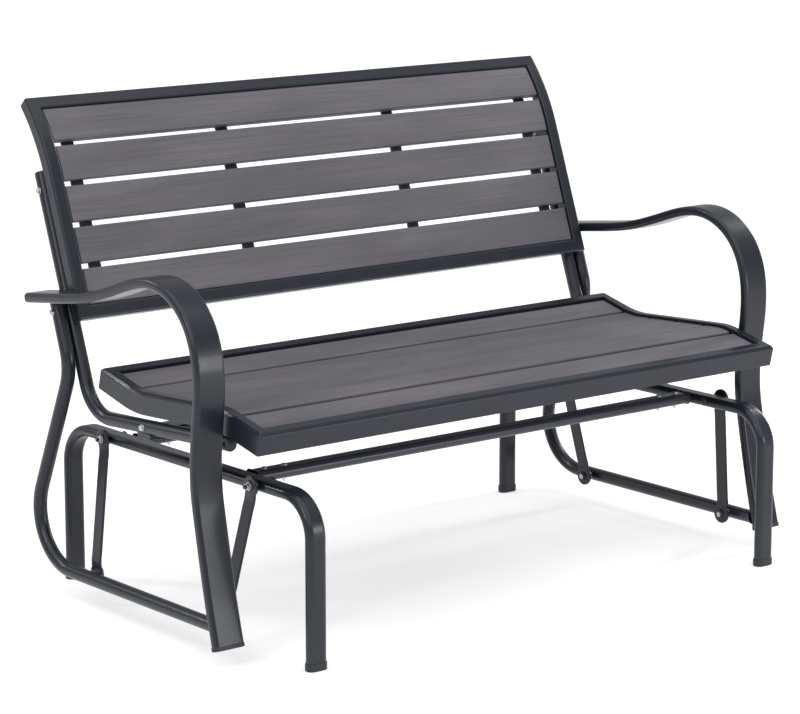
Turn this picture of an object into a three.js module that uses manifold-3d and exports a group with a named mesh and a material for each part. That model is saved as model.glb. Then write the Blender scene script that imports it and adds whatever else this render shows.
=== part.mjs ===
// Two-seat garden glider bench: a fixed base, four hanging links and a seat that glides fore and aft.
// Millimetres, +Z up, the bench faces -Y. The origin is on the floor, under the middle of the whole object.
// A point given as [y, z] lies in a side plane; SIDES mirrors the left-hand pieces to the right.
import * as THREE from 'three';
import { mergeVertices } from 'three/addons/utils/BufferGeometryUtils.js';
import Module from 'manifold-3d';

const wasm = await Module();
wasm.setup();

// ---- driving dimensions ----
const MID_DEPTH = 27.8;            // depth at which the outline of the whole bench is halved
const GAP = 0.3;                  // clearance between pieces that touch
const SIDES = [['left', -1], ['right', 1]];

const ROUND_TUBE = 12.7;          // radius of the round frame tubes
const BASE_TUBE = { width: 38, depth: 20, x: 527.5 };
const BASE_FRONT = -353.5;          // centre of the base's front legs
const BASE_REAR = 382.5;          // centre of the base's rear legs
const BASE_TOP = 291.5;           // centre of the base's top rails
const KNEE = 68;                  // bend radius of the base's knees
const FOOT_HEIGHT = 14;
const CROSS_RAIL_Y = [['front', -152], ['rear', 196]];

const PIVOT_TOP = 292.5;
const PIVOT_LOW = 55;
const LINK = { width: 28, thick: 5, eye: 18, eyeThick: 9, topX: 553, lowX: 589 };
const LINKS = [['front', -209, -181], ['rear', 241.5, 214]];
const BOLT = 4;                   // pivot bolt radius
const RUNNING_BORE = 4.4;
const OPEN_BORE = 6.4;            // the rear lower eyes are loose on their bolts
const HEAD = 8;

const ARM = { x: 636, width: 60, thick: 18, corner: 6.5 };
const LEG_TUBE_X = 617;         // rear leg and lower stretcher, one bent tube
const SEAT_TUBE_X = 589.6;       // upright and seat bearer, one bent tube

const SEAT = { half: 600, front: -301, rear: 174, rail: 22, height: 40, bevel: 5, recess: 5.5, slat: 20 };
const SEAT_SLATS = [[150, 91], [85, 14], [11, -59], [-62, -134], [-137, -207], [-215, -276]];
const SEAT_BEARERS = [['rear', 45, 354], ['front', -95, 372]];
const BEARER = { depth: 46, height: 20, half: 576.4 };
const STRAPS = [-536, -197, 197, 536];
const STRAP = { width: 25.5, thick: 5 };

const BACK = { half: 600.5, tube: 25, recess: 3, slat: 16, lean: 20.05, y: 231, z: 517 };
const BACK_STRAIGHT = 264;        // lower, straight part of the back's side profile
const BACK_RADIUS = 380;          // upper part curls rearwards on this radius
const BACK_LENGTH = 419;
const BACK_SLAT = 65.4;
const BACK_SLAT_GAP = 10.2;
const SLAT_END_GAP = 2.5;         // slat end to frame
const TAB = { from: 20, to: 50, length: 44, thick: 4 };
const TAB_HEIGHTS = [14, 226];    // where the fixing tabs sit along the back's stiles

// ---- materials ----
const FINISHES = {
  frame: { color: 0x3d4148, roughness: 0.48, metalness: 0.35 },
  slat: { color: 0x716d6f, roughness: 0.7, metalness: 0 },
  plastic: { color: 0x17181a, roughness: 0.6, metalness: 0 },
  zinc: { color: 0xc4c6c8, roughness: 0.32, metalness: 0.9 },
};

const bench = new THREE.Group();
const model = new THREE.Group();
model.position.y = -MID_DEPTH;
bench.add(model);

function addPiece(name, finish, geometry) {
  const piece = new THREE.Mesh(geometry, new THREE.MeshStandardMaterial(FINISHES[finish]));
  piece.name = name;
  model.add(piece);
  return piece;
}

// ---- solids ----
function toSolid(geometry) {
  const bare = geometry.clone();
  bare.deleteAttribute('normal');
  bare.deleteAttribute('uv');
  const merged = mergeVertices(bare, 1e-4);
  const vertProperties = new Float32Array(merged.attributes.position.array);
  const triVerts = new Uint32Array(merged.index.array);
  return new wasm.Manifold(new wasm.Mesh({ numProp: 3, vertProperties, triVerts }));
}

function fromSolid(solid) {
  const mesh = solid.getMesh();
  const geometry = new THREE.BufferGeometry();
  geometry.setAttribute('position', new THREE.BufferAttribute(new Float32Array(mesh.vertProperties), 3));
  geometry.setIndex(new THREE.BufferAttribute(new Uint32Array(mesh.triVerts), 1));
  geometry.computeVertexNormals();
  return geometry;
}

function join(...geometries) {
  const solids = geometries.map(toSolid);
  return fromSolid(solids.reduce((whole, next) => whole.add(next)));
}

function cut(geometry, ...cutters) {
  return fromSolid(cutters.map(toSolid).reduce((rest, next) => rest.subtract(next), toSolid(geometry)));
}

// A cylinder along X from x0 to x1 at depth y and height z.
function rodX(x0, x1, y, z, radius, sides = 16) {
  const rod = new THREE.CylinderGeometry(radius, radius, Math.abs(x1 - x0), sides);
  rod.rotateZ(Math.PI / 2);
  rod.translate((x0 + x1) / 2, y, z);
  return rod;
}

function block(x0, x1, y0, y1, z0, z1) {
  const box = new THREE.BoxGeometry(Math.abs(x1 - x0), y1 - y0, z1 - z0);
  box.translate((x0 + x1) / 2, (y0 + y1) / 2, (z0 + z1) / 2);
  return box;
}

// ---- tube sections ----
function roundedSection(width, depth, radius, perCorner) {
  const corners = [[1, 1], [-1, 1], [-1, -1], [1, -1]];
  const points = [];
  corners.forEach(([sx, sy], corner) => {
    for (let i = 0; i <= perCorner; i += 1) {
      const angle = (corner + i / perCorner) * Math.PI / 2;
      const x = sx * (width / 2 - radius) + radius * Math.cos(angle);
      const y = sy * (depth / 2 - radius) + radius * Math.sin(angle);
      points.push(new THREE.Vector2(x, y));
    }
  });
  const spread = points.filter((point, i) => point.distanceTo(points[(i + 1) % points.length]) > 1e-6);
  return new THREE.Shape(spread);
}

const roundSection = (radius) => roundedSection(2 * radius, 2 * radius, radius, 3);

// A path that is only ever asked for its own stations, so straight runs need no extra rings. The
// section's width stays along X all the way round.
class StationPath extends THREE.Curve {
  constructor(stations) {
    super();
    this.stations = stations;
  }

  getPoint(u, target = new THREE.Vector3()) {
    return target.copy(this.stations[Math.round(u * (this.stations.length - 1))].point);
  }

  getSpacedPoints() {
    return this.stations.map(({ point }) => point.clone());
  }

  computeFrenetFrames() {
    const tangents = this.stations.map(({ tangent }) => tangent.clone().normalize());
    const normals = tangents.map(() => new THREE.Vector3(1, 0, 0));
    const binormals = tangents.map((tangent, i) => tangent.clone().cross(normals[i]));
    return { tangents, normals, binormals };
  }
}

function sweep(section, stations) {
  const extrudePath = new StationPath(stations);
  return new THREE.ExtrudeGeometry(section, { steps: stations.length - 1, extrudePath, bevelEnabled: false });
}

// Stations along a side-plane route at width x. Corners [y, z, radius] are rounded by arcs.
function bentStations(x, corners, degreesPerStep = 15) {
  const at = ([y, z]) => new THREE.Vector3(x, y, z);
  const stations = [];
  const push = (point, tangent) => stations.push({ point, tangent });
  for (let i = 0; i < corners.length; i += 1) {
    const here = at(corners[i]);
    const before = i > 0 ? at(corners[i - 1]) : null;
    const after = i < corners.length - 1 ? at(corners[i + 1]) : null;
    const inward = before && here.clone().sub(before).normalize();
    const outward = after && after.clone().sub(here).normalize();
    if (!before || !after) {
      push(here, (outward || inward).clone());
      continue;
    }
    const turn = inward.angleTo(outward);
    const radius = corners[i][2];
    const reach = radius * Math.tan(turn / 2);
    const start = here.clone().addScaledVector(inward, -reach);
    const side = outward.clone().addScaledVector(inward, -inward.dot(outward)).normalize();
    const steps = Math.max(2, Math.round(THREE.MathUtils.radToDeg(turn) / degreesPerStep));
    for (let k = 0; k <= steps; k += 1) {
      const angle = turn * k / steps;
      const point = start.clone()
        .addScaledVector(inward, radius * Math.sin(angle))
        .addScaledVector(side, radius * (1 - Math.cos(angle)));
      const tangent = inward.clone().multiplyScalar(Math.cos(angle)).addScaledVector(side, Math.sin(angle));
      push(point, tangent);
    }
  }
  return stations;
}

// Stations along a smooth curve through [y, z] points.
function smoothStations(x, points, steps) {
  const curve = new THREE.CatmullRomCurve3(points.map(([y, z]) => new THREE.Vector3(x, y, z)), false, 'centripetal');
  return Array.from({ length: steps + 1 }, (_, i) => ({
    point: curve.getPointAt(i / steps),
    tangent: curve.getTangentAt(i / steps),
  }));
}

// ---- curved side profiles ----
// A profile is a row of stations { at, point, into }: distance or depth along it, [y, z], and the
// direction into the piece. Everything that lies on a profile shares these stations and their offsets.
const LEAN = THREE.MathUtils.degToRad(BACK.lean);

function backStation(at) {
  const along = Math.min(at, BACK_STRAIGHT);
  const turn = Math.max(0, at - BACK_STRAIGHT) / BACK_RADIUS;
  const y = BACK.y + along * Math.sin(LEAN) + BACK_RADIUS * (Math.cos(LEAN) - Math.cos(LEAN + turn));
  const z = BACK.z + along * Math.cos(LEAN) + BACK_RADIUS * (Math.sin(LEAN + turn) - Math.sin(LEAN));
  return { at, point: [y, z], into: [Math.cos(LEAN + turn), -Math.sin(LEAN + turn)] };
}

const BACK_CURVE = BACK_LENGTH - BACK_STRAIGHT;
const BACK_PROFILE = [0, ...Array.from({ length: 8 }, (_, i) => BACK_STRAIGHT + BACK_CURVE * i / 7)].map(backStation);

// Top line of the seat: raised at the rear, rising slightly towards the front, then rolling down. It
// runs a little past both ends of the seat.
const SEAT_LINE = [[190, 444.9], [69, 415.4, 200], [-186, 429.3, 160], [-320, 399.2]];
const SEAT_PROFILE = bentStations(0, SEAT_LINE, 4).map(({ point, tangent }) => ({
  at: -point.y,
  point: [point.y, point.z],
  into: [-tangent.z, tangent.y],
}));

function stationAt(profile, at) {
  const after = Math.max(1, profile.findIndex((station) => station.at >= at - 1e-9));
  const [a, b] = [profile[after - 1], profile[after]];
  const t = (at - a.at) / (b.at - a.at);
  const mix = (from, to) => from.map((value, i) => value + t * (to[i] - value));
  return { at, point: mix(a.point, b.point), into: mix(a.into, b.into) };
}

function onProfile(station, depth) {
  return station.point.map((value, i) => value + depth * station.into[i]);
}

function flipIfInsideOut(positions, index) {
  const [a, b, c] = [new THREE.Vector3(), new THREE.Vector3(), new THREE.Vector3()];
  let volume = 0;
  for (let i = 0; i < index.length; i += 3) {
    [a, b, c].forEach((corner, k) => corner.fromArray(positions, 3 * index[i + k]));
    volume += a.dot(b.cross(c));
  }
  if (volume < 0) index.reverse();
}

// A section of [x, depth] corners carried along a profile from one place to another.
function loft(profile, from, to, section) {
  const inside = profile.filter(({ at }) => at > from + 1 && at < to - 1);
  const rows = [stationAt(profile, from), ...inside, stationAt(profile, to)];
  const count = section.length;
  const positions = rows.flatMap((row) => section.flatMap(([x, depth]) => [x, ...onProfile(row, depth)]));
  const caps = THREE.ShapeUtils.triangulateShape(section.map(([x, depth]) => new THREE.Vector2(x, depth)), []);
  const last = (rows.length - 1) * count;
  const index = caps.flatMap(([i, j, k]) => [k, j, i, last + i, last + j, last + k]);
  const turning = THREE.ShapeUtils.area(section.map(([x, depth]) => new THREE.Vector2(x, depth))) > 0;
  for (let r = 0; r < rows.length - 1; r += 1) {
    for (let i = 0; i < count; i += 1) {
      const [a, b] = turning ? [i, (i + 1) % count] : [(i + 1) % count, i];
      const [p, q, u, v] = [r * count + a, r * count + b, (r + 1) * count + a, (r + 1) * count + b];
      index.push(p, q, v, p, v, u);
    }
  }
  flipIfInsideOut(positions, index);
  const geometry = new THREE.BufferGeometry();
  geometry.setAttribute('position', new THREE.Float32BufferAttribute(positions, 3));
  geometry.setIndex(index);
  geometry.computeVertexNormals();
  return geometry;
}

// A plain strip between two depths below a profile, from x0 to x1.
function strip(profile, from, to, depth0, depth1, x0, x1) {
  return loft(profile, from, to, [[x0, depth0], [x1, depth0], [x1, depth1], [x0, depth1]]);
}

// ---- fixed base ----
for (const [side, sign] of SIDES) {
  const section = roundedSection(BASE_TUBE.width, BASE_TUBE.depth, BASE_TUBE.depth / 2, 3);
  const x = sign * BASE_TUBE.x;
  const route = [
    [BASE_FRONT, FOOT_HEIGHT + GAP],
    [BASE_FRONT, BASE_TOP, KNEE],
    [BASE_REAR, BASE_TOP, KNEE],
    [BASE_REAR, FOOT_HEIGHT + GAP],
  ];
  const tube = sweep(section, bentStations(x, route));
  const bores = LINKS.map(([, top]) => rodX(x - BASE_TUBE.width, x + BASE_TUBE.width, top, PIVOT_TOP, RUNNING_BORE));
  addPiece(`base_frame_${side}`, 'frame', cut(tube, ...bores));
  for (const [end, y] of [['front', BASE_FRONT], ['rear', BASE_REAR]]) {
    const shoe = roundedSection(BASE_TUBE.width + 3, BASE_TUBE.depth + 3, BASE_TUBE.depth / 2 + 1, 3);
    const foot = new THREE.ExtrudeGeometry(shoe, { depth: FOOT_HEIGHT, bevelEnabled: false });
    foot.translate(x, y, 0);
    addPiece(`base_foot_${end}_${side}`, 'plastic', foot);
  }
}

for (const [end, y] of CROSS_RAIL_Y) {
  const reach = BASE_TUBE.x - BASE_TUBE.width / 2 - GAP;
  const section = roundedSection(BASE_TUBE.width, BASE_TUBE.depth, BASE_TUBE.depth / 2, 3);
  const rail = new THREE.ExtrudeGeometry(section, { depth: 2 * reach, bevelEnabled: false });
  rail.rotateZ(Math.PI / 2);
  rail.rotateY(Math.PI / 2);
  rail.translate(-reach, y, BASE_TOP);
  addPiece(`base_cross_rail_${end}`, 'frame', rail);
}

// ---- hanging links and their pivots ----
// The bar steps outwards from its top eye to its low eye and leans towards the middle of the bench.
function linkGeometry(sign, topY, lowY, lowBore) {
  const bend = 24;
  const half = LINK.thick / 2;
  const line = [
    [LINK.topX, PIVOT_TOP + 5],
    [LINK.topX, PIVOT_TOP - bend],
    [LINK.lowX, PIVOT_LOW + bend],
    [LINK.lowX, PIVOT_LOW - 5],
  ];
  const outline = [...line.map(([x, z]) => [x - half, z]), ...[...line].reverse().map(([x, z]) => [x + half, z])];
  const shape = new THREE.Shape(outline.map(([x, z]) => new THREE.Vector2(sign * x, z - PIVOT_TOP)));
  const bar = new THREE.ExtrudeGeometry(shape, { depth: LINK.width, bevelEnabled: false });
  bar.rotateX(Math.PI / 2);
  bar.translate(0, LINK.width / 2, 0);
  const drop = PIVOT_TOP - PIVOT_LOW;
  bar.applyMatrix4(new THREE.Matrix4().makeShear(0, 0, 0, 0, 0, -(lowY - topY) / drop));
  bar.translate(0, topY, PIVOT_TOP);
  const eye = (x, y, z) => rodX(sign * (x - LINK.eyeThick / 2), sign * (x + LINK.eyeThick / 2), y, z, LINK.eye, 24);
  const bore = (x, y, z, radius) => rodX(sign * (x - 20), sign * (x + 20), y, z, radius);
  return cut(
    join(bar, eye(LINK.topX, topY, PIVOT_TOP), eye(LINK.lowX, lowY, PIVOT_LOW)),
    bore(LINK.topX, topY, PIVOT_TOP, RUNNING_BORE),
    bore(LINK.lowX, lowY, PIVOT_LOW, lowBore),
  );
}

// Bolt along X through steps of [x, radius]; each radius holds up to the next x.
function boltGeometry(sign, y, z, steps, end) {
  const profile = [new THREE.Vector2(0, steps[0][0])];
  steps.forEach(([x, radius], i) => {
    const next = i + 1 < steps.length ? steps[i + 1][0] : end;
    profile.push(new THREE.Vector2(radius, x), new THREE.Vector2(radius, next));
  });
  profile.push(new THREE.Vector2(0, end));
  const bolt = new THREE.LatheGeometry(profile, 12);
  bolt.rotateZ(-Math.PI / 2);
  if (sign < 0) bolt.rotateY(Math.PI);
  bolt.translate(0, y, z);
  return bolt;
}

const RAIL_IN = BASE_TUBE.x - BASE_TUBE.width / 2;
const RAIL_OUT = BASE_TUBE.x + BASE_TUBE.width / 2;
const EYE_HALF = LINK.eyeThick / 2;
const TUBE_IN = LEG_TUBE_X - ROUND_TUBE;
const BOLT_END = LEG_TUBE_X + 6;

for (const [side, sign] of SIDES) {
  for (const [end, topY, lowY] of LINKS) {
    const lowBore = end === 'rear' ? OPEN_BORE : RUNNING_BORE;
    addPiece(`link_${end}_${side}`, 'frame', linkGeometry(sign, topY, lowY, lowBore));
    const top = [
      [RAIL_IN - GAP - 5, HEAD],
      [RAIL_IN - GAP, BOLT],
      [RAIL_OUT + GAP, HEAD],
      [LINK.topX - EYE_HALF - GAP, BOLT],
      [LINK.topX + EYE_HALF + GAP, HEAD],
      [LINK.topX + EYE_HALF + 7, BOLT],
    ];
    addPiece(`pivot_bolt_top_${end}_${side}`, 'zinc',
      boltGeometry(sign, topY, PIVOT_TOP, top, LINK.topX + EYE_HALF + 11));
    const low = [
      [LINK.lowX - EYE_HALF - 6, HEAD],
      [LINK.lowX - EYE_HALF - GAP, BOLT],
      [LINK.lowX + EYE_HALF + GAP, HEAD],
      [TUBE_IN - GAP, BOLT],
    ];
    addPiece(`pivot_bolt_low_${end}_${side}`, 'zinc', boltGeometry(sign, lowY, PIVOT_LOW, low, BOLT_END));
  }
}

// ---- glider side frames ----
const ARM_LINE = [
  [315, 552], [236, 562], [180, 569], [120, 579], [57, 597], [-5, 618], [-42, 628], [-75, 631], [-108, 626],
  [-142, 611], [-172, 586], [-194, 551], [-206, 505], [-207, 450], [-200, 395], [-195.5, 335], [-197.5, 290],
  [-206, 245], [-221, 172], [-236, 105], [-253, 40],
];
const ARM_STEPS = 40;

for (const [side, sign] of SIDES) {
  const section = roundedSection(ARM.width, ARM.thick, ARM.corner, 2);
  const stations = smoothStations(sign * ARM.x, ARM_LINE, ARM_STEPS);
  addPiece(`arm_${side}`, 'frame', sweep(section, stations));

  const end = stations[ARM_STEPS];
  const capSection = roundedSection(ARM.width + 1.6, ARM.thick + 1.6, ARM.corner, 2);
  const capEnds = [GAP, 7].map((distance) => ({
    point: end.point.clone().addScaledVector(end.tangent, distance),
    tangent: end.tangent,
  }));
  addPiece(`arm_leg_cap_${side}`, 'plastic', sweep(capSection, capEnds));

  // Rear leg from under the armrest, down and back, round to the stretcher that runs to the front leg.
  const legRoute = [[286.5, 545.9], [245, 427, 90], [410.6, PIVOT_LOW, 100], [-238.8, PIVOT_LOW]];
  const leg = bentStations(sign * LEG_TUBE_X, legRoute);
  leg[0].tangent = new THREE.Vector3(0, -0.12, -0.99);
  leg[leg.length - 1].tangent = new THREE.Vector3(0, -0.963, 0.27);
  const blind = LINKS.map(([, , low]) => rodX(sign * (TUBE_IN - 5), sign * (BOLT_END + GAP), low, PIVOT_LOW, BOLT + GAP));
  addPiece(`rear_leg_${side}`, 'frame', cut(sweep(roundSection(ROUND_TUBE), leg), ...blind));

  // Upright behind the back, bent forwards to run under the seat.
  const seatRoute = [[370, 764], [216.5, 345.5, 76], [-196, 368.4]];
  const bearer = bentStations(sign * SEAT_TUBE_X, seatRoute, 12);
  addPiece(`seat_tube_${side}`, 'frame', sweep(roundSection(ROUND_TUBE), bearer));
  const tip = bearer[bearer.length - 1];
  const plug = [[GAP, 12.9], [7, 12.9], [10, 9.5]].map(([distance, radius]) => [distance, radius]);
  const plugProfile = [new THREE.Vector2(0, GAP)];
  plug.forEach(([distance, radius]) => plugProfile.push(new THREE.Vector2(radius, distance)));
  plugProfile.push(new THREE.Vector2(0, 11));
  const cap = new THREE.LatheGeometry(plugProfile, 12);
  cap.applyQuaternion(new THREE.Quaternion().setFromUnitVectors(new THREE.Vector3(0, 1, 0), tip.tangent));
  cap.translate(tip.point.x, tip.point.y, tip.point.z);
  addPiece(`seat_tube_cap_${side}`, 'plastic', cap);
}

// ---- seat ----
// The four rails have a 45 degree bevel all round the outer top edge.
const seatRear = -SEAT.rear;
const seatFront = -SEAT.front;
const { half: seatHalf, rail: seatRail, height: seatHeight, bevel: seatBevel } = SEAT;

function bevelAlongX(end, outward) {
  const corners = [[-1.5, -0.5], [0.5, 1.5], [1, -1]].map(([along, depth]) =>
    onProfile(stationAt(SEAT_PROFILE, end + outward * along * seatBevel), depth * seatBevel));
  const shape = new THREE.Shape(corners.map(([y, z]) => new THREE.Vector2(y, z)));
  const wedge = new THREE.ExtrudeGeometry(shape, { depth: 2 * seatHalf + 20, bevelEnabled: false });
  wedge.rotateX(Math.PI / 2);
  wedge.rotateZ(Math.PI / 2);
  wedge.translate(-seatHalf - 10, 0, 0);
  return wedge;
}

function bevelAtSide(sign, from, to) {
  const corners = [[-1.5, -0.5], [0.5, 1.5], [1, -1]];
  const section = corners.map(([x, depth]) => [sign * (seatHalf + x * seatBevel), depth * seatBevel]);
  return loft(SEAT_PROFILE, from - 5, to + 5, section);
}

function crossSeatRail(from, to, end, outward) {
  return cut(
    strip(SEAT_PROFILE, from, to, 0, seatHeight, -seatHalf, seatHalf),
    bevelAlongX(end, outward),
    ...SIDES.map(([, sign]) => bevelAtSide(sign, from, to)),
  );
}

addPiece('seat_rail_rear', 'frame', crossSeatRail(seatRear, seatRear + seatRail, seatRear, -1));
addPiece('seat_rail_front', 'frame', crossSeatRail(seatFront - seatRail, seatFront, seatFront, 1));
for (const [side, sign] of SIDES) {
  const [outer, inner] = [seatHalf, seatHalf - seatRail];
  const section = [
    [outer, seatBevel], [outer, seatHeight], [inner, seatHeight], [inner, 0], [outer - seatBevel, 0],
  ].map(([x, depth]) => [sign * x, depth]);
  addPiece(`seat_rail_${side}`, 'frame',
    loft(SEAT_PROFILE, seatRear + seatRail + GAP, seatFront - seatRail - GAP, section));
}

const seatInside = SEAT.half - SEAT.rail - SLAT_END_GAP;
SEAT_SLATS.forEach(([rear, front], i) => {
  addPiece(`seat_slat_${i + 1}`, 'slat',
    strip(SEAT_PROFILE, -rear, -front, SEAT.recess, SEAT.recess + SEAT.slat, -seatInside, seatInside));
});
const underSeat = SEAT.recess + SEAT.slat + GAP;
STRAPS.forEach((x, i) => {
  const strap = strip(SEAT_PROFILE, seatRear + SEAT.rail + 4, seatFront - SEAT.rail - 4, underSeat,
    underSeat + STRAP.thick, x - STRAP.width / 2, x + STRAP.width / 2);
  addPiece(`seat_strap_${i + 1}`, 'frame', strap);
});
for (const [end, y, top] of SEAT_BEARERS) {
  addPiece(`seat_bearer_${end}`, 'frame',
    block(-BEARER.half, BEARER.half, y - BEARER.depth / 2, y + BEARER.depth / 2, top - BEARER.height, top));
}

// ---- back ----
for (const [side, sign] of SIDES) {
  const inner = sign * (BACK.half - BACK.tube);
  const stile = strip(BACK_PROFILE, 0, BACK_LENGTH, 0, BACK.tube, sign * BACK.half, inner);
  const tabs = TAB_HEIGHTS.map((at) => strip(BACK_PROFILE, at, at + TAB.length, TAB.from, TAB.to,
    inner + sign * 0.5, inner - sign * (TAB.thick - 0.5)));
  addPiece(`back_stile_${side}`, 'frame', join(stile, ...tabs));
}
const railReach = BACK.half - BACK.tube - TAB.thick - GAP;
const topReach = BACK.half - BACK.tube - GAP;
addPiece('back_rail_bottom', 'frame', strip(BACK_PROFILE, 0, BACK.tube, 0, BACK.tube, -railReach, railReach));
addPiece('back_rail_top', 'frame',
  strip(BACK_PROFILE, BACK_LENGTH - BACK.tube, BACK_LENGTH, 0, BACK.tube, -topReach, topReach));

const slatReach = BACK.half - BACK.tube - SLAT_END_GAP;
for (let i = 0; i < 5; i += 1) {
  const from = BACK.tube + 0.8 + i * (BACK_SLAT + BACK_SLAT_GAP);
  addPiece(`back_slat_${5 - i}`, 'slat',
    strip(BACK_PROFILE, from, from + BACK_SLAT, BACK.recess, BACK.recess + BACK.slat, -slatReach, slatReach));
}
STRAPS.forEach((x, i) => {
  const behind = BACK.recess + BACK.slat + GAP;
  const strap = strip(BACK_PROFILE, BACK.tube + GAP, BACK_LENGTH - BACK.tube - GAP, behind, behind + STRAP.thick,
    x - STRAP.width / 2, x + STRAP.width / 2);
  addPiece(`back_strap_${i + 1}`, 'frame', strap);
});

export default bench;
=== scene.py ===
"""Garden glider bench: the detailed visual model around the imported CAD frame.

Sizes are in millimetres, in the side-view coordinates the CAD part uses, and become metres when a mesh
is made. MID is the depth at the middle of the bench, where the shared frame has its origin.
"""

import math

import bmesh
import bpy
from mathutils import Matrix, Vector


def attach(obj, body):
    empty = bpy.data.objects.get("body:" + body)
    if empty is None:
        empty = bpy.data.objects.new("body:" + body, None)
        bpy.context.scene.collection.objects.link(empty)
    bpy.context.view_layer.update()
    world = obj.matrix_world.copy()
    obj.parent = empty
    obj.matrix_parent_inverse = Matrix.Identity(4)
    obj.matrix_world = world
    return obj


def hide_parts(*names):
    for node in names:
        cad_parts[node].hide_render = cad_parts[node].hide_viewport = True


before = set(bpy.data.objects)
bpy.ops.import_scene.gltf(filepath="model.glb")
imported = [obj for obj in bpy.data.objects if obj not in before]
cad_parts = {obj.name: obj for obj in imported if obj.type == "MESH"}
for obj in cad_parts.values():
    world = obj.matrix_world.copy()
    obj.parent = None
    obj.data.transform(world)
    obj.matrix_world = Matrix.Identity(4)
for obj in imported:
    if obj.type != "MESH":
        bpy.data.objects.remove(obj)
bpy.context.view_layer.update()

MID = 27.8
SIDES = (("left", -1), ("right", 1))
X_AXIS = Vector((1, 0, 0))
UP = Vector((0, 0, 1))

BASE_X, BASE_FRONT, BASE_REAR, BASE_TOP = 527.5, -353.5, 382.5, 291.5     # centre lines of the base tubes
RAIL_END = 508.2                # end of the cross rails, at the base tube's inner side
PIVOT_TOP, PIVOT_LOW = 292.5, 55
LINK_TOP_X, LINK_LOW_X = 553, 589
ARM_X, LEG_X, SEAT_TUBE_X = 636, 617, 589.6
TUBE = 12.7                     # radius of the round tubes
SEAT_HALF, SEAT_BOARD_HALF, BEARER_HALF = 600, 575.4, 576.4
BACK_HALF, BACK_BOARD_HALF = 600.5, 572.9
BACK_BOTTOM = (231, 517)        # [y, z] at the foot of the back's front surface
BACK_STRAIGHT, BACK_RADIUS = 264, 380                # straight part, then a rearward curl
BACK_LENGTH, BACK_SLAT, BACK_PITCH = 419, 65.4, 75.6
TAB_OUT, TAB_IN = 575.4, 571.8  # outer and inner side of the fixing tabs on the stiles
TAB_BOLTS, TAB_BOLT_DEPTH = (36, 248), 42
STRAP_HALF = 12.75


# ---------------------------------------------------------------- materials
def noise_field(mat, scale, stretch=(1, 1, 1), detail=3.0, rough=0.5):
    """A noise value over the surface, stretched along the object's axes."""
    nodes, links = mat.node_tree.nodes, mat.node_tree.links
    coord = nodes.new("ShaderNodeTexCoord")
    mapping = nodes.new("ShaderNodeMapping")
    mapping.inputs["Scale"].default_value = stretch
    noise = nodes.new("ShaderNodeTexNoise")
    for key, value in (("Scale", scale), ("Detail", detail), ("Roughness", rough)):
        noise.inputs[key].default_value = value
    links.new(coord.outputs["Object"], mapping.inputs["Vector"])
    links.new(mapping.outputs["Vector"], noise.inputs["Vector"])
    return noise.outputs["Fac"]


def remap(mat, value, low, high, start=0.0, stop=1.0):
    node = mat.node_tree.nodes.new("ShaderNodeMapRange")
    mat.node_tree.links.new(value, node.inputs["Value"])
    for key, number in (("From Min", start), ("From Max", stop), ("To Min", low), ("To Max", high)):
        node.inputs[key].default_value = number
    return node.outputs["Result"]


def blend_colour(mat, factor, first, second):
    node = mat.node_tree.nodes.new("ShaderNodeMix")
    node.data_type = "RGBA"
    mat.node_tree.links.new(factor, node.inputs["Factor"])
    for socket, colour in ((node.inputs[6], first), (node.inputs[7], second)):
        if isinstance(colour, tuple):
            socket.default_value = (*colour, 1)
        else:
            mat.node_tree.links.new(colour, socket)
    return node.outputs[2]


def add_bump(mat, height, strength, distance, normal=None):
    bump = mat.node_tree.nodes.new("ShaderNodeBump")
    bump.inputs["Strength"].default_value = strength
    bump.inputs["Distance"].default_value = distance
    mat.node_tree.links.new(height, bump.inputs["Height"])
    if normal:
        mat.node_tree.links.new(normal, bump.inputs["Normal"])
    return bump.outputs["Normal"]


def new_material(name, **fixed):
    mat = bpy.data.materials.new(name)
    mat.use_nodes = True
    shader = mat.node_tree.nodes["Principled BSDF"]
    for key, value in fixed.items():
        shader.inputs[key.replace("_", " ")].default_value = value
    return mat, shader, mat.node_tree.links


def convex_edge_highlight_mask(mat):
    """1 on convex edges, 0 elsewhere; a mask for a painted highlight along the edges."""
    geometry = mat.node_tree.nodes.new("ShaderNodeNewGeometry")
    return remap(mat, geometry.outputs["Pointiness"], 0.0, 1.0, 0.54, 0.66)


def powder_coat(name, dark, light, edge):
    mat, shader, links = new_material(name, Metallic=0.0, Specular_IOR_Level=0.3, Coat_Weight=0.16,
                                      Coat_Roughness=0.13)
    tone = blend_colour(mat, noise_field(mat, 9, detail=4), dark, light)
    # convex edges are painted toward the lighter edge colour: a painted highlight along the edges
    links.new(blend_colour(mat, convex_edge_highlight_mask(mat), tone, edge), shader.inputs["Base Color"])
    links.new(remap(mat, noise_field(mat, 60, detail=5), 0.26, 0.38), shader.inputs["Roughness"])
    wave = add_bump(mat, noise_field(mat, 25, detail=2), 0.12, 0.0006)
    links.new(add_bump(mat, noise_field(mat, 1400, detail=2), 0.22, 0.00012, wave), shader.inputs["Normal"])
    return mat


def moulded_board(name, dark, light, streak):
    """Grey moulded board with a faint lengthwise wood grain."""
    mat, shader, links = new_material(name, Metallic=0.0, Specular_IOR_Level=0.4)
    tone = blend_colour(mat, remap(mat, noise_field(mat, 3, (1.2, 5, 5), 5), 0, 1, 0.34, 0.66), dark, light)
    grain = noise_field(mat, 52, (0.08, 6, 6), 7, 0.66)
    lines = remap(mat, grain, 0, 0.8, 0.5, 0.74)
    links.new(blend_colour(mat, lines, tone, streak), shader.inputs["Base Color"])
    links.new(remap(mat, grain, 0.5, 0.68, 0.3, 0.7), shader.inputs["Roughness"])
    fine = add_bump(mat, noise_field(mat, 160, (0.12, 7, 7), 5, 0.6), 0.35, 0.0003)
    links.new(add_bump(mat, grain, 0.35, 0.0005, fine), shader.inputs["Normal"])
    return mat


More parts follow.
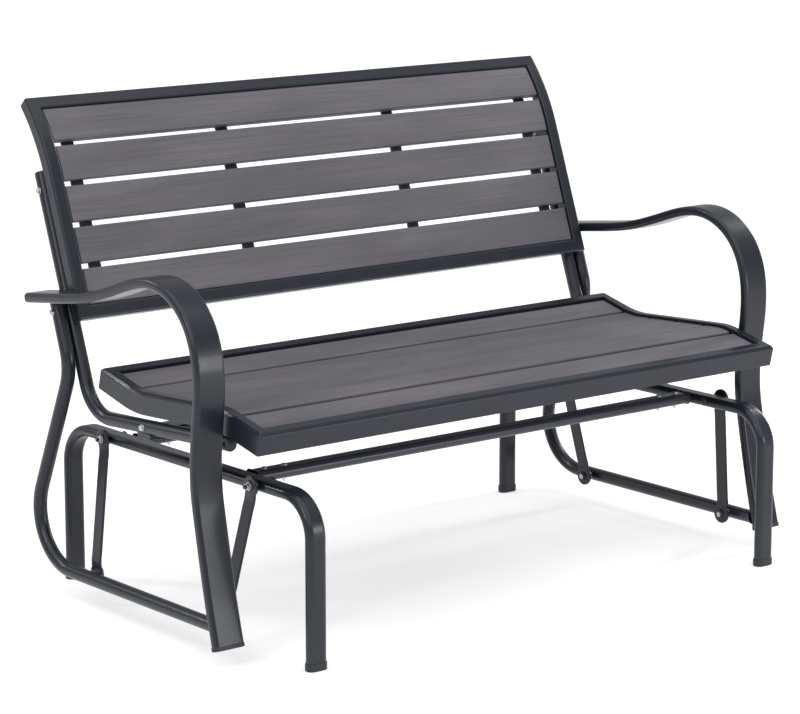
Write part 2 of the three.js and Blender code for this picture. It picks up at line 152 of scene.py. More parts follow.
def black_plastic(name):
    mat, shader, links = new_material(name, Metallic=0.0)
    links.new(blend_colour(mat, noise_field(mat, 30), (0.0075, 0.0085, 0.012), (0.012, 0.0135, 0.018)),
              shader.inputs["Base Color"])
    links.new(remap(mat, noise_field(mat, 90), 0.42, 0.6), shader.inputs["Roughness"])
    links.new(add_bump(mat, noise_field(mat, 900), 0.3, 0.0002), shader.inputs["Normal"])
    return mat


def zinc_plate(name):
    mat, shader, links = new_material(name, Metallic=1.0)
    tone = blend_colour(mat, noise_field(mat, 120, detail=4), (0.3, 0.31, 0.32), (0.5, 0.5, 0.49))
    # convex edges are painted brighter: a painted highlight along the edges
    links.new(blend_colour(mat, convex_edge_highlight_mask(mat), tone, (0.7, 0.7, 0.69)), shader.inputs["Base Color"])
    links.new(remap(mat, noise_field(mat, 300), 0.22, 0.42), shader.inputs["Roughness"])
    links.new(add_bump(mat, noise_field(mat, 700, (1, 8, 8)), 0.2, 0.0001), shader.inputs["Normal"])
    return mat


MATERIALS = {
    # the frame's third colour is the painted highlight on its convex edges
    "frame": powder_coat("powder_coat", (0.0066, 0.0086, 0.0148), (0.0092, 0.0116, 0.019),
                         (0.05, 0.056, 0.07)),
    "slats": moulded_board("moulded_board", (0.075, 0.071, 0.077), (0.107, 0.099, 0.113),
                           (0.054, 0.049, 0.053)),
    "plastic": black_plastic("black_plastic"),
    "zinc": zinc_plate("zinc_plate"),
}


# ---------------------------------------------------------------- meshes
class Form:
    """Vertices in millimetres and faces of one piece."""

    def __init__(self):
        self.verts = []
        self.faces = []

    def rings(self, rings):
        """Joins equal rings of points into a skin with flat ends."""
        base = len(self.verts)
        count = len(rings[0])
        for ring in rings:
            self.verts.extend(tuple(point) for point in ring)
        for r in range(len(rings) - 1):
            for i in range(count):
                a = base + r * count + i
                b = base + r * count + (i + 1) % count
                self.faces.append((a, b, b + count, a + count))
        self.faces.append(tuple(base + i for i in reversed(range(count))))
        top = base + (len(rings) - 1) * count
        self.faces.append(tuple(top + i for i in range(count)))
        return self

    def loop(self, rings):
        """Joins rings all the way round into a closed frame."""
        base = len(self.verts)
        count = len(rings[0])
        total = len(rings)
        for ring in rings:
            self.verts.extend(tuple(point) for point in ring)
        for r in range(total):
            for i in range(count):
                j = (i + 1) % count
                s = (r + 1) % total
                self.faces.append((base + r * count + i, base + r * count + j,
                                   base + s * count + j, base + s * count + i))
        return self


def piece(name, form, body, slot, replaces=(), bevel=0.0, sharp=38):
    """Makes one piece, riding on a body; edges over the sharp angle shade hard and may be bevelled."""
    mesh = bpy.data.meshes.new(name)
    points = [(x / 1000, (y - MID) / 1000, z / 1000) for x, y, z in form.verts]
    mesh.from_pydata(points, [], form.faces)
    edit = bmesh.new()
    edit.from_mesh(mesh)
    bmesh.ops.remove_doubles(edit, verts=edit.verts, dist=1e-7)
    bmesh.ops.recalc_face_normals(edit, faces=edit.faces)
    if bevel:
        keen = [e for e in edit.edges if len(e.link_faces) == 2 and e.calc_face_angle(0) > math.radians(sharp)]
        bmesh.ops.bevel(edit, geom=keen, offset=bevel / 1000, segments=2, profile=0.5,
                        affect="EDGES", clamp_overlap=True)
    edit.to_mesh(mesh)
    edit.free()
    mesh.shade_smooth()
    mesh.set_sharp_from_angle(angle=math.radians(sharp))
    mesh.materials.append(MATERIALS[slot])
    obj = bpy.data.objects.new(name, mesh)
    bpy.context.scene.collection.objects.link(obj)
    even = obj.modifiers.new("flat faces stay flat", "WEIGHTED_NORMAL")
    even.keep_sharp = True
    even.weight = 80
    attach(obj, body)
    if replaces:
        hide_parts(*replaces)
    return obj


# ---------------------------------------------------------------- sections and routes
def rounded_section(width, depth, radius, steps):
    points = []
    for corner, (sx, sy) in enumerate(((1, 1), (-1, 1), (-1, -1), (1, -1))):
        for i in range(steps + 1):
            angle = (corner + i / steps) * math.pi / 2
            point = (sx * (width / 2 - radius) + radius * math.cos(angle),
                     sy * (depth / 2 - radius) + radius * math.sin(angle))
            if not points or math.dist(point, points[-1]) > 1e-4:
                points.append(point)
    if math.dist(points[0], points[-1]) < 1e-4:
        points.pop()
    return points


def supported(section, reach=1.1):
    """The section with a point close to each end of every long flat, so that edges shade crisply."""
    out = []
    for i, (x0, y0) in enumerate(section):
        x1, y1 = section[(i + 1) % len(section)]
        out.append((x0, y0))
        length = math.hypot(x1 - x0, y1 - y0)
        if length > 4.5 * reach:
            for t in (reach / length, 1 - reach / length):
                out.append((x0 + (x1 - x0) * t, y0 + (y1 - y0) * t))
    return out


def inset_section(section, amount):
    """The section drawn in by amount towards its middle."""
    out = []
    for x, y in section:
        length = math.hypot(x, y) or 1
        out.append((x - amount * x / length, y - amount * y / length))
    return out


def bent(x, corners, step=3.0):
    """Stations along a side-plane route whose corners [y, z, radius] are rounded by arcs."""
    at = [Vector((x, c[0], c[1])) for c in corners]
    stations = []
    for i, here in enumerate(at):
        inward = (here - at[i - 1]).normalized() if i else None
        outward = (at[i + 1] - here).normalized() if i < len(at) - 1 else None
        if inward is None or outward is None:
            stations.append((here, outward or inward))
            continue
        turn = inward.angle(outward)
        radius = corners[i][2]
        start = here - inward * radius * math.tan(turn / 2)
        side = (outward - inward * inward.dot(outward)).normalized()
        steps = max(2, round(math.degrees(turn) / step))
        for k in range(steps + 1):
            a = turn * k / steps
            stations.append((start + inward * radius * math.sin(a) + side * radius * (1 - math.cos(a)),
                             inward * math.cos(a) + side * math.sin(a)))
    return stations


def smooth_route(x, points, steps, soften):
    """Stations along a smooth curve through [y, z] points, with small kinks softened."""
    p = [Vector((q[0], q[1])) for q in points]
    p = [2 * p[0] - p[1], *p, 2 * p[-1] - p[-2]]
    fine = []
    for i in range(1, len(p) - 2):
        t0, t1, t2 = (max((p[i + k] - p[i + k - 1]).length, 1e-6) ** 0.5 for k in (0, 1, 2))
        m1 = ((p[i] - p[i - 1]) / t0 - (p[i + 1] - p[i - 1]) / (t0 + t1) + (p[i + 1] - p[i]) / t1) * t1
        m2 = ((p[i + 1] - p[i]) / t1 - (p[i + 2] - p[i]) / (t1 + t2) + (p[i + 2] - p[i + 1]) / t2) * t1
        for k in range(40):
            u = k / 40
            fine.append(p[i] * (2 * u**3 - 3 * u**2 + 1) + m1 * (u**3 - 2 * u**2 + u)
                        + p[i + 1] * (3 * u**2 - 2 * u**3) + m2 * (u**3 - u**2))
    fine.append(p[-2])
    even = respace(fine, steps)
    for _ in range(soften):
        even = [even[0], *[(even[i - 1] + 2 * even[i] + even[i + 1]) / 4 for i in range(1, steps)], even[-1]]
    stations = []
    for i, q in enumerate(even):
        tangent = (even[min(i + 1, steps)] - even[max(i - 1, 0)]).normalized()
        stations.append((Vector((x, q.x, q.y)), Vector((0, tangent.x, tangent.y))))
    return stations


def respace(points, steps):
    total = [0.0]
    for a, b in zip(points, points[1:]):
        total.append(total[-1] + (b - a).length)
    out = []
    k = 0
    for i in range(steps + 1):
        goal = total[-1] * i / steps
        while k < len(points) - 2 and total[k + 1] < goal:
            k += 1
        span = total[k + 1] - total[k] or 1
        out.append(points[k].lerp(points[k + 1], (goal - total[k]) / span))
    return out


def ring_at(section, point, tangent):
    up = tangent.cross(X_AXIS)
    return [point + X_AXIS * x + up * y for x, y in section]


def sweep(section, stations, ends=(0, 0)):
    """Carries a section along stations; ends are the rounding at the first and last end."""
    rings = [ring_at(section, p, t) for p, t in stations]
    if ends[0]:
        p, t = stations[0]
        rings[0] = ring_at(section, p + t * ends[0], t)
        rings.insert(0, ring_at(inset_section(section, ends[0] * 0.3), p + t * ends[0] * 0.3, t))
        rings.insert(0, ring_at(inset_section(section, ends[0]), p, t))
    if ends[1]:
        p, t = stations[-1]
        rings[-1] = ring_at(section, p - t * ends[1], t)
        rings.append(ring_at(inset_section(section, ends[1] * 0.3), p - t * ends[1] * 0.3, t))
        rings.append(ring_at(inset_section(section, ends[1]), p, t))
    return Form().rings(rings)


def lathe(form, origin, axis, profile, sides=28):
    """Turns (distance, radius) steps about an axis."""
    axis = axis.normalized()
    side = axis.orthogonal().normalized()
    other = axis.cross(side)
    rings = []
    for distance, radius in profile:
        ring = []
        for i in range(sides):
            a = 2 * math.pi * i / sides
            spoke = side * math.cos(a) + other * math.sin(a)
            ring.append(origin + axis * distance + spoke * radius)
        rings.append(ring)
    return form.rings(rings)


def washer(form, origin, axis, radius, thick):
    e = min(0.5, thick / 3)
    return lathe(form, origin, axis, [(0, radius - e), (e, radius), (thick - e, radius), (thick, radius - e)])


def hex_head(form, origin, axis, flats, height):
    """Hexagon head or nut with a turned chamfer on its free face."""
    r = flats / math.sqrt(3)
    return lathe(form, origin, axis, [(0, r), (height * 0.8, r), (height, r * 0.87)], sides=6)


def dome(form, origin, axis, radius, height):
    steps = [(height * math.sin(k * math.pi / 12), radius * math.cos(k * math.pi / 12)) for k in range(6)]
    return lathe(form, origin, axis, [(-0.6, radius), *steps, (height, radius * 0.08)], 24)


# ---------------------------------------------------------------- fixed base
def base_frame(side, sign):
    x = sign * BASE_X
    section = supported(rounded_section(38, 20, 10, 10))
    route = bent(x, [[BASE_FRONT, 6], [BASE_FRONT, BASE_TOP, 68], [BASE_REAR, BASE_TOP, 68], [BASE_REAR, 6]])
    piece(f"base_tube_{side}", sweep(section, route), "base", "frame", [f"base_frame_{side}"])
    for end, y in (("front", BASE_FRONT), ("rear", BASE_REAR)):
        outer = rounded_section(41, 23, 11.5, 10)
        rings = []
        for z, inset in ((0, 1.8), (0.7, 0.6), (2.2, 0), (12.6, 0), (13.6, 0.5), (14, 1.4)):
            rings.append([Vector((x + px, y + py, z)) for px, py in inset_section(outer, inset)])
        piece(f"foot_{end}_{side}", Form().rings(rings), "base", "plastic", [f"base_foot_{end}_{side}"])


def cross_rail(end, y):
    """Flat-oval cross rail with a weld bead and two vertical bolts at each end."""
    section = rounded_section(38, 20, 10, 10)
    form = Form()
    rings = []
    for x in (-RAIL_END, RAIL_END):
        rings.append([Vector((x, y + a, BASE_TOP + b)) for a, b in section])
    form.rings(rings)
    piece(f"cross_rail_{end}", form, "base", "frame", [f"base_cross_rail_{end}"])
    for side, sign in SIDES:
        bead = Form()
        outer = rounded_section(41.6, 23.6, 11.8, 10)
        rings = []
        for x, inset in ((RAIL_END, 0), (506.8, 0.2), (505.2, 0.9), (504.2, 2.0)):
            rings.append([Vector((sign * x, y + a, BASE_TOP + b)) for a, b in inset_section(outer, inset)])
        bead.rings(rings)
        piece(f"cross_rail_weld_{end}_{side}", bead, "base", "frame")
        bolts = Form()
        for x in (484, 442):
            top = Vector((sign * x, y, 301.3))
            washer(bolts, top, UP, 6.4, 1.1)
            dome(bolts, top + UP * 1.1, UP, 5.2, 3.0)
            low = Vector((sign * x, y, 281.7))
            washer(bolts, low, -UP, 6.4, 1.1)
            hex_head(bolts, low - UP * 1.1, -UP, 8.4, 3.4)
            lathe(bolts, low - UP * 4.4, -UP, [(0, 2.2), (3.0, 2.2), (3.4, 1.8)])
        piece(f"cross_rail_bolts_{end}_{side}", bolts, "base", "zinc")


# ---------------------------------------------------------------- links and pivots
LINKS = (("front", -209, -181), ("rear", 241.5, 214))


def link(end, side, sign, top_y, low_y):
    """Flat bar that steps outwards from its top eye to its low eye, with a bush in each eye."""
    out = X_AXIS * sign
    top = Vector((sign * LINK_TOP_X, top_y, PIVOT_TOP))
    low = Vector((sign * LINK_LOW_X, low_y, PIVOT_LOW))
    form = Form()
    down = low - top
    stations = []
    lean = [(0.0, 0.0), (0.075, 0.0), (0.115, 0.025), (0.155, 0.09),
            (0.845, 0.91), (0.885, 0.975), (0.925, 1.0), (1.0, 1.0)]
    for t, across in lean:
        x = LINK_TOP_X + (LINK_LOW_X - LINK_TOP_X) * across
        stations.append(Vector((sign * x, top_y + down.y * t, PIVOT_TOP + down.z * t)))
    section = rounded_section(5, 28, 1.8, 4)
    along = Vector((0, down.y, down.z)).normalized()
    width = along.cross(X_AXIS).normalized()
    form.rings([[p + X_AXIS * a + width * b for a, b in section] for p in stations])
    for centre in (top, low):
        eye = [(0, 8.4), (0, 9.2), (1.6, 10.2), (1.6, 16.8), (2.0, 17.7), (2.7, 18),
               (6.3, 18), (7.0, 17.7), (7.4, 16.8), (7.4, 10.2), (9, 9.2), (9, 8.4)]
        lathe(form, centre - out * 4.5, out, eye, 48)
    piece(f"link_bar_{end}_{side}", form, f"link_{end}_{side}", "frame", [f"link_{end}_{side}"], sharp=50)
    bushes = Form()
    for centre in (top, low):
        for way in (1, -1):
            washer(bushes, centre + out * way * 4.2, out * way, 7.6, 0.9)
    piece(f"link_bushes_{end}_{side}", bushes, f"link_{end}_{side}", "plastic")


def pivots(end, side, sign, top_y, low_y):
    """The upper bolt, fixed in the base, and the lower bolt, fixed in the glider."""
    out = X_AXIS * sign
    upper = Form()
    at = Vector((0, top_y, PIVOT_TOP))
    lathe(upper, at + out * 506, out, [(0, 4), (57, 4)])
    washer(upper, at + out * 546.8, out, 8, 1.3)
    washer(upper, at + out * 558.1, out, 7.6, 1.2)
    hex_head(upper, at + out * 559.3, out, 11.4, 5.0)
    piece(f"upper_pivot_{end}_{side}", upper, "base", "zinc", [f"pivot_bolt_top_{end}_{side}"],
          bevel=0.3, sharp=45)
    cover = Form()
    lathe(cover, at + out * 508.4, -out, [(0, 8), (1.4, 8), (3.2, 7), (4.5, 5), (5, 2.4), (5.1, 0.4)], 28)
    lathe(cover, at + out * 563, out, [(0, 3.7), (4.6, 3.7), (5.5, 2.8)], 20)
    piece(f"upper_pivot_cover_{end}_{side}", cover, "base", "plastic")
    lower = Form()
    at = Vector((0, low_y, PIVOT_LOW))
    lathe(lower, at + out * 583, out, [(0, 4), (22, 4), (22.5, 3.6)])
    hex_head(lower, at + out * 582.5, -out, 9.6, 2.9)
    lathe(lower, at + out * 579.8, -out, [(0, 3.4), (0.8, 3.4), (1.3, 2.8)], 20)
    lathe(lower, at + out * 594.0, out, [(0, 6.6), (0.5, 7), (9.5, 7), (10, 6.6)])
    piece(f"lower_pivot_{end}_{side}", lower, "glider", "zinc", [f"pivot_bolt_low_{end}_{side}"],
          bevel=0.25, sharp=45)
    disc = Form()
    washer(disc, at + out * 583.6, -out, 8, 1.2)
    piece(f"lower_pivot_washer_{end}_{side}", disc, "glider", "plastic")


# ---------------------------------------------------------------- glider side frames
ARM_LINE = [
    [315, 552], [236, 562], [180, 569], [120, 579], [57, 597], [-5, 618], [-42, 628], [-75, 631], [-108, 626],
    [-142, 611], [-172, 586], [-194, 551], [-206, 505], [-207, 450], [-200, 395], [-195.5, 335], [-197.5, 290],
    [-206, 245], [-221, 172], [-236, 105], [-253, 40],
]


def side_frame(side, sign):
    """Armrest with its cap and plug, rear leg tube, and seat tube with its cap and plug."""
    route = smooth_route(sign * ARM_X, ARM_LINE, 190, 14)
    section = supported(rounded_section(60, 18, 7, 8))
    piece(f"armrest_{side}", sweep(section, route, ends=(1.2, 0)), "glider", "frame", [f"arm_{side}"])
    p, t = route[-1]
    cap = rounded_section(61.6, 19.6, 7.4, 8)
    rings = [ring_at(inset_section(cap, i), p + t * d, t)
             for d, i in ((-0.2, 0.9), (0.4, 0.1), (1, 0), (5.6, 0), (6.6, 0.5), (7, 1.6))]
    piece(f"armrest_foot_cap_{side}", Form().rings(rings), "glider", "plastic", [f"arm_leg_cap_{side}"])
    p, t = route[0]
    plug = rounded_section(57, 15, 5.6, 8)
    rings = [ring_at(inset_section(plug, i), p - t * d, t)
             for d, i in ((-2, 0), (0.8, 0), (1.5, 0.5), (1.8, 1.8))]
    piece(f"armrest_end_plug_{side}", Form().rings(rings), "glider", "plastic")

    round_tube = rounded_section(2 * TUBE, 2 * TUBE, TUBE, 8)
    leg = bent(sign * LEG_X, [[286.5, 545.9], [245, 427, 90], [410.6, PIVOT_LOW, 100], [-238.8, PIVOT_LOW]])
    leg[0] = (leg[0][0] + Vector((0, 0, 1.2)), Vector((0, -0.12, -0.99)).normalized())
    leg[-1] = (leg[-1][0], Vector((0, -0.963, 0.27)).normalized())
    piece(f"rear_leg_tube_{side}", sweep(round_tube, leg), "glider", "frame", [f"rear_leg_{side}"])
    seat_route = bent(sign * SEAT_TUBE_X, [[370, 764], [216.5, 345.5, 76], [-196, 368.4]])
    piece(f"seat_bearer_tube_{side}", sweep(round_tube, seat_route, ends=(0.8, 0)), "glider", "frame",
          [f"seat_tube_{side}"])
    welds = Form()
    weld_ring(welds, leg[0][0], leg[0][1], 12.9)
    weld_ring(welds, leg[-1][0], -leg[-1][1], 12.9)
    piece(f"side_frame_welds_{side}", welds, "glider", "frame")
    cap_at, way = seat_route[-1]
    cap = Form()
    lathe(cap, cap_at, way, [(-0.1, 11), (0.3, 12.6), (0.9, 12.9), (6.4, 12.9), (7.8, 12.3), (9.2, 10.9),
                             (10.3, 8.2), (10.9, 4.4), (11, 1)], 36)
    piece(f"tube_end_cap_{side}", cap, "glider", "plastic", [f"seat_tube_cap_{side}"])
    p, t = seat_route[0]
    plug = Form()
    lathe(plug, p, -t, [(-2, 11), (0.6, 11), (1.4, 10.4), (1.7, 8.6)], 32)
    piece(f"tube_top_plug_{side}", plug, "glider", "plastic")


def weld_ring(form, centre, axis, radius):
    """A low fillet bead where a tube meets another part."""
    steps = ((0, 0.8), (0.9, 1.3), (2.2, 1.0), (3.4, 0.1), (3.4, -1), (0, -1))
    lathe(form, centre - axis * 0.6, axis, [(distance, radius + more) for distance, more in steps], 32)


# ---------------------------------------------------------------- curved profiles
def seat_table():
    stations = bent(0, [[190, 444.9], [69, 415.4, 200], [-186, 429.3, 160], [-320, 399.2]], 0.5)
    return [(-p.y, Vector((p.y, p.z)), Vector((-t.z, t.y))) for p, t in stations]


SEAT_TABLE = seat_table()


def on_seat(at, depth):
    """[y, z] at a distance forward of the origin's depth line and a depth below the seat's top line."""
    k = 1
    while k < len(SEAT_TABLE) - 1 and SEAT_TABLE[k][0] < at:
        k += 1
    (a0, p0, n0), (a1, p1, n1) = SEAT_TABLE[k - 1], SEAT_TABLE[k]
    t = (at - a0) / (a1 - a0)
    return p0.lerp(p1, t) + n0.lerp(n1, t) * depth


LEAN = math.radians(20.05)


def on_back(at, depth):
    """[y, z] at a distance up the back and a depth behind its front surface."""
    straight = min(at, BACK_STRAIGHT)
    turn = max(0.0, at - BACK_STRAIGHT) / BACK_RADIUS
    y = BACK_BOTTOM[0] + straight * math.sin(LEAN) + BACK_RADIUS * (math.cos(LEAN) - math.cos(LEAN + turn))
    z = BACK_BOTTOM[1] + straight * math.cos(LEAN) + BACK_RADIUS * (math.sin(LEAN + turn) - math.sin(LEAN))
    return Vector((y + depth * math.cos(LEAN + turn), z - depth * math.sin(LEAN + turn)))


def board_outline(a0, a1, d0, d1, radius, count):
    """Rounded outline of a board's end, as (place along the profile, depth) points."""
    points = []
    for i in range(count + 1):
        points.append((a0 + radius + (a1 - a0 - 2 * radius) * i / count, d0))
    for k in range(1, 5):
        a = k * math.pi / 8
        points.append((a1 - radius + radius * math.sin(a), d0 + radius - radius * math.cos(a)))
    points.append((a1, d1 - radius))
    points.append((a1 - radius * 0.3, d1 - radius * 0.3))
    for i in range(count + 1):
        points.append((a1 - radius - (a1 - a0 - 2 * radius) * i / count, d1))
    points.append((a0 + radius * 0.3, d1 - radius * 0.3))
    points.append((a0, d1 - radius))
    for k in range(4, 0, -1):
        a = k * math.pi / 8
        points.append((a0 + radius - radius * math.sin(a), d0 + radius - radius * math.cos(a)))
    return points


def board(form, surface, a0, a1, d0, d1, x0, x1, radius, ease=1.2, step=5.0):
    """A board lying on a curved surface, with rounded long edges and eased ends."""
    count = max(1, round((a1 - a0 - 2 * radius) / step))
    rings = []
    for x, inset in ((x0, ease), (x0 + 0.3 * ease, 0.3 * ease), (x0 + ease, 0), (x1 - ease, 0),
                     (x1 - 0.3 * ease, 0.3 * ease), (x1, ease)):
        round_off = max(radius - inset * 0.5, 0.3)
        outline = board_outline(a0 + inset, a1 - inset, d0 + inset, d1 - inset, round_off, count)
        rings.append([Vector((x, *surface(a, d))) for a, d in outline])
    return form.rings(rings)


# ---------------------------------------------------------------- seat
SEAT_SLATS = [[150, 91], [85, 14], [11, -59], [-62, -134], [-137, -207], [-215, -276]]
STRAPS = (-536, -197, 197, 536)


def frame_ring(name, surface, half, a0, a1, section, corner, replaces):
    """A closed frame on a curved surface. The section is (inset from the outer edge, depth)."""
    stations = []
    turns = ((1, a0, -90), (1, a1, 0), (-1, a1, 90), (-1, a0, 180))
    for sx, ca, start in turns:
        sa = 1 if ca == a1 else -1
        for k in range(7):
            angle = math.radians(start + 15 * k)
            stations.append((sx, ca, sa, math.cos(angle), math.sin(angle)))
        if start in (0, 180):
            continue
        span = a1 - a0 - 2 * corner
        count = round(span / 5)
        for k in range(1, count):
            stations.append((sx, ca - sa * (corner + span * k / count), 0, sx, 0))
    section = supported(section)
    rings = []
    for sx, ca, sa, nx, na in stations:
        ring = []
        for inset, depth in section:
            if not sa:
                at = min(max(ca, a0 + inset), a1 - inset) if inset > corner else ca
                ring.append(Vector((sx * (half - inset), *surface(at, depth))))
            elif inset > corner:
                ring.append(Vector((sx * (half - inset), *surface(ca - sa * inset, depth))))
            else:
                reach = corner - inset
                at = ca - sa * corner + na * reach
                ring.append(Vector((sx * (half - corner) + nx * reach, *surface(at, depth))))
        rings.append(ring)
    form = Form().loop(rings)
    return piece(name, form, "glider", "frame", replaces)


def joint_trim(rear, front):
    """How far a board edge stands back, so that a closed-up joint still reads as a dark line."""
    return 0.4 if None in (rear, front) else max(0.4, 2.9 - (rear - front) / 2)


def seat():
    section = [(0.0, 6.4), (0.25, 5.5), (0.8, 4.8), (4.8, 0.8), (5.5, 0.25), (6.4, 0.0), (20.9, 0.0),
               (21.7, 0.3), (22.0, 1.1), (22.0, 38.8), (21.0, 40.0), (1.2, 40.0), (0.35, 39.65), (0.0, 38.8)]
    frame_ring("seat_frame", on_seat, SEAT_HALF, -174, 301, section, 3.0,
               ["seat_rail_front", "seat_rail_rear", "seat_rail_left", "seat_rail_right"])
    edges = [None] + [edge for slat in SEAT_SLATS for edge in slat] + [None]
    for i, (rear, front) in enumerate(SEAT_SLATS):
        behind, ahead = edges[2 * i], edges[2 * i + 3]
        trim_rear, trim_front = joint_trim(behind, rear), joint_trim(front, ahead)
        form = board(Form(), on_seat, -rear + trim_rear, -front - trim_front, 5.5, 25.4,
                     -SEAT_BOARD_HALF, SEAT_BOARD_HALF, 3.4)
        piece(f"seat_board_{i + 1}", form, "glider", "slats", [f"seat_slat_{i + 1}"])
    for i, x in enumerate(STRAPS):
        form = board(Form(), on_seat, -148, 275, 25.8, 30.8, x - STRAP_HALF, x + STRAP_HALF, 1.2, 0.8, 8)
        piece(f"seat_cross_strap_{i + 1}", form, "glider", "frame", [f"seat_strap_{i + 1}"])
    for end, y, top in (("rear", 45, 354), ("front", -95, 372)):
        form = Form()
        section = rounded_section(46, 20, 3.5, 5)
        ends = ((0, 0.93), (1, 0.985), (2.5, 1))
        stops = [(inset - BEARER_HALF, s) for inset, s in ends]
        stops += [(-x, s) for x, s in reversed(stops)]
        form.rings([[Vector((x, y + a * s, top - 10 + b * s)) for a, b in section] for x, s in stops])
        piece(f"seat_cross_bearer_{end}", form, "glider", "frame", [f"seat_bearer_{end}"])
    for side, sign in SIDES:
        shoe = Form()
        outline = [(-19, 1), (-18, -0.6), (-16, -1.2), (19, -1.2), (21, -0.6), (22, 1), (22, 8), (-19, 8)]
        rings = []
        for x, inset in ((573.0, 0), (595.6, 0), (596.4, 0.3), (596.8, 1.0)):
            rings.append([Vector((sign * x, 45 + a * (1 - inset / 20), 335.2 + b + inset)) for a, b in outline])
        shoe.rings(rings)
        piece(f"bearer_shoe_{side}", shoe, "glider", "frame", bevel=0.5)


# ---------------------------------------------------------------- back
def back():
    section = [(0, 3.0), (0.9, 0.9), (3.0, 0), (22.0, 0), (24.1, 0.9), (25, 3.0), (25, 22.0), (24.1, 24.1),
               (22.0, 25), (3.0, 25), (0.9, 24.1), (0, 22.0)]
    frame_ring("back_frame", on_back, BACK_HALF, 0, BACK_LENGTH, section, 2.5,
               ["back_stile_left", "back_stile_right", "back_rail_top", "back_rail_bottom"])
    for i in range(5):
        a = 25.8 + i * BACK_PITCH
        form = board(Form(), on_back, a, a + BACK_SLAT, 3.0, 19.0, -BACK_BOARD_HALF, BACK_BOARD_HALF, 2.4)
        piece(f"back_board_{5 - i}", form, "glider", "slats", [f"back_slat_{5 - i}"])
    for i, x in enumerate(STRAPS):
        form = board(Form(), on_back, 25.4, 393.6, 19.4, 24.2, x - STRAP_HALF, x + STRAP_HALF, 1.2, 0.8, 8)
        piece(f"back_cross_strap_{i + 1}", form, "glider", "frame", [f"back_strap_{i + 1}"])
    for side, sign in SIDES:
        tabs = Form()
        for at in (14, 226):
            x0, x1 = sorted((sign * TAB_OUT, sign * TAB_IN))
            board(tabs, on_back, at, at + 44, 6, 52, x0, x1, 5, 0.5, 8)
        piece(f"back_tabs_{side}", tabs, "glider", "frame")
        spacers = Form()
        for at in TAB_BOLTS:
            centre = on_back(at, TAB_BOLT_DEPTH)
            lathe(spacers, Vector((sign * 575.2, centre.x, centre.y)), X_AXIS * sign, [(0, 7), (3.2, 7)], 24)
        piece(f"back_spacers_{side}", spacers, "glider", "frame")


# ---------------------------------------------------------------- small hardware
def tube_bolt(form, point, out):
    """Small hexagon head on a washer, on the side of a tube."""
    washer(form, point - out * 0.6, out, 6.2, 1.3)
    hex_head(form, point + out * 0.7, out, 9.4, 3.4)
    lathe(form, point + out * 4.0, out, [(0, 3.0), (0.5, 3.0), (0.9, 2.4)], 16)


def hardware():
    for side, sign in SIDES:
        out = X_AXIS * sign
        bolts = Form()
        tube_bolt(bolts, Vector((sign * (SEAT_TUBE_X + TUBE), 359, 733)), out)
        tube_bolt(bolts, Vector((sign * (SEAT_TUBE_X + TUBE), 43, 355)), out)
        tube_bolt(bolts, Vector((sign * (LEG_X + TUBE), 280.5, 527)), out)
        for at in TAB_BOLTS:
            centre = on_back(at, TAB_BOLT_DEPTH)
            inner = Vector((sign * TAB_IN, centre.x, centre.y))
            washer(bolts, inner + out * 0.4, -out, 7.4, 1.4)
            hex_head(bolts, inner - out * 1.0, -out, 10, 5)
        piece(f"frame_bolts_{side}", bolts, "glider", "zinc", sharp=45)
        spacer = Form()
        lathe(spacer, Vector((sign * 601.2, -183, 367.6)), out, [(0, 6.5), (6.2, 6.5)], 24)
        piece(f"arm_spacer_{side}", spacer, "glider", "frame")
        # a thin black disc flush on the stile's side over its hole: painted shade for the dark inside of the
        # hole
        hole_shade = Form()
        lathe(hole_shade, Vector((sign * 600.1, 329, 730)), out,
              [(0, 5.4), (0.5, 5.4), (0.8, 4.8), (0.6, 4.2), (0.6, 0.4)])
        piece(f"stile_hole_painted_shade_{side}", hole_shade, "glider", "plastic")


for side, sign in SIDES:
    base_frame(side, sign)
    side_frame(side, sign)
    for end, top_y, low_y in LINKS:
        link(end, side, sign, top_y, low_y)
        pivots(end, side, sign, top_y, low_y)
cross_rail("front", -152)
cross_rail("rear", 196)
seat()
back()
hardware()


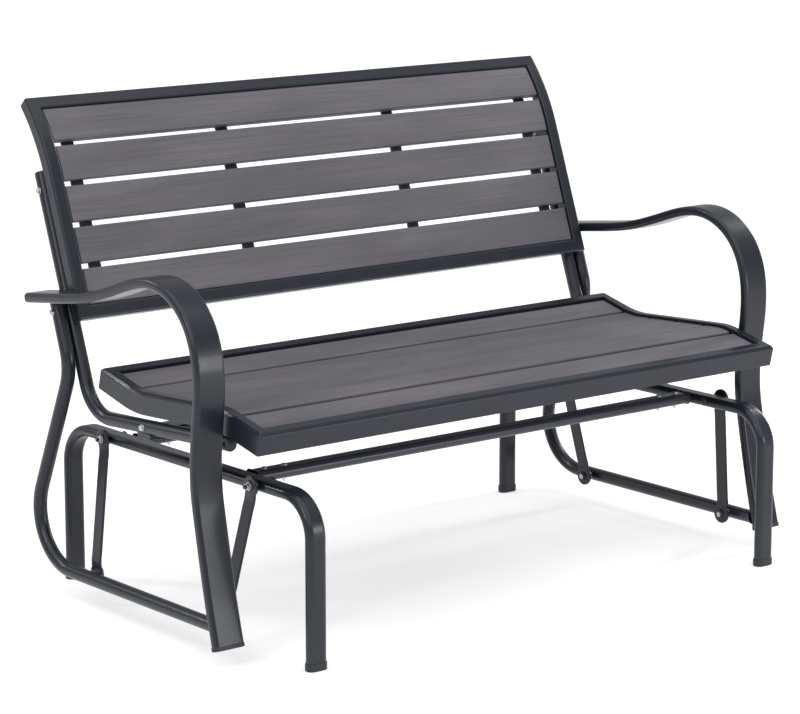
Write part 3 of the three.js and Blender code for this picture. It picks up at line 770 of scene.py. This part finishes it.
# ---------------------------------------------------------------- floor, light and camera
def stage():
    mesh = bpy.data.meshes.new("floor")
    mesh.from_pydata([(-40, -40, 0), (40, -40, 0), (40, 40, 0), (-40, 40, 0)], [], [(0, 1, 2, 3)])
    mat, shader, links = new_material("pale_floor", Roughness=0.9, Emission_Strength=0.44)
    tone = blend_colour(mat, noise_field(mat, 2), (0.61, 0.61, 0.61), (0.63, 0.63, 0.63))
    links.new(tone, shader.inputs["Base Color"])
    mesh.materials.append(mat)
    floor = bpy.data.objects.new("floor", mesh)
    bpy.context.scene.collection.objects.link(floor)
    world = bpy.data.worlds.new("studio")
    world.use_nodes = True
    world.node_tree.nodes["Background"].inputs["Color"].default_value = (0.94, 0.965, 1.0, 1)
    world.node_tree.nodes["Background"].inputs["Strength"].default_value = 0.55
    bpy.context.scene.world = world


def area_light(name, location, target, size, power):
    light = bpy.data.lights.new(name, "AREA")
    light.shape = "RECTANGLE"
    light.size, light.size_y = size
    light.energy = power
    obj = bpy.data.objects.new(name, light)
    obj.visible_camera = False
    obj.location = location
    obj.rotation_euler = (Vector(target) - Vector(location)).to_track_quat("-Z", "Y").to_euler()
    bpy.context.scene.collection.objects.link(obj)


def camera():
    """At the photograph's viewing angle; the lens is set from a focal length of 3046.2 image points."""
    data = bpy.data.cameras.new("camera")
    data.sensor_width = 36
    data.lens = 36 * 3046.2 / 800
    obj = bpy.data.objects.new("camera", data)
    obj.location = (-3.476, -4.248 - MID / 1000, 1.525)
    obj.rotation_euler = (math.radians(90 - 11.479), 0, math.radians(-38.774))
    bpy.context.scene.collection.objects.link(obj)
    bpy.context.scene.camera = obj


def sun(name, direction, strength, spread):
    light = bpy.data.lights.new(name, "SUN")
    light.energy = strength
    light.angle = math.radians(spread)
    obj = bpy.data.objects.new(name, light)
    obj.rotation_euler = Vector(direction).to_track_quat("-Z", "Y").to_euler()
    bpy.context.scene.collection.objects.link(obj)


stage()
sun("overhead", (0.25, 0.35, -1), 2.4, 95)
area_light("left rear strip", (-2.0, 2.2, 2.2), (-0.3, 0, 0.5), (0.14, 1.6), 20)
area_light("right strip", (3.0, 0.3, 1.5), (0.2, 0, 0.5), (0.3, 1.8), 30)
area_light("left strip", (-3.0, -0.9, 1.8), (0, 0, 0.4), (0.2, 1.4), 14)
area_light("low front", (1.5, -3.1, 0.8), (-0.4, 0, 0.35), (1.3, 0.7), 24)
bpy.context.scene.view_settings.view_transform = "Standard"
camera()
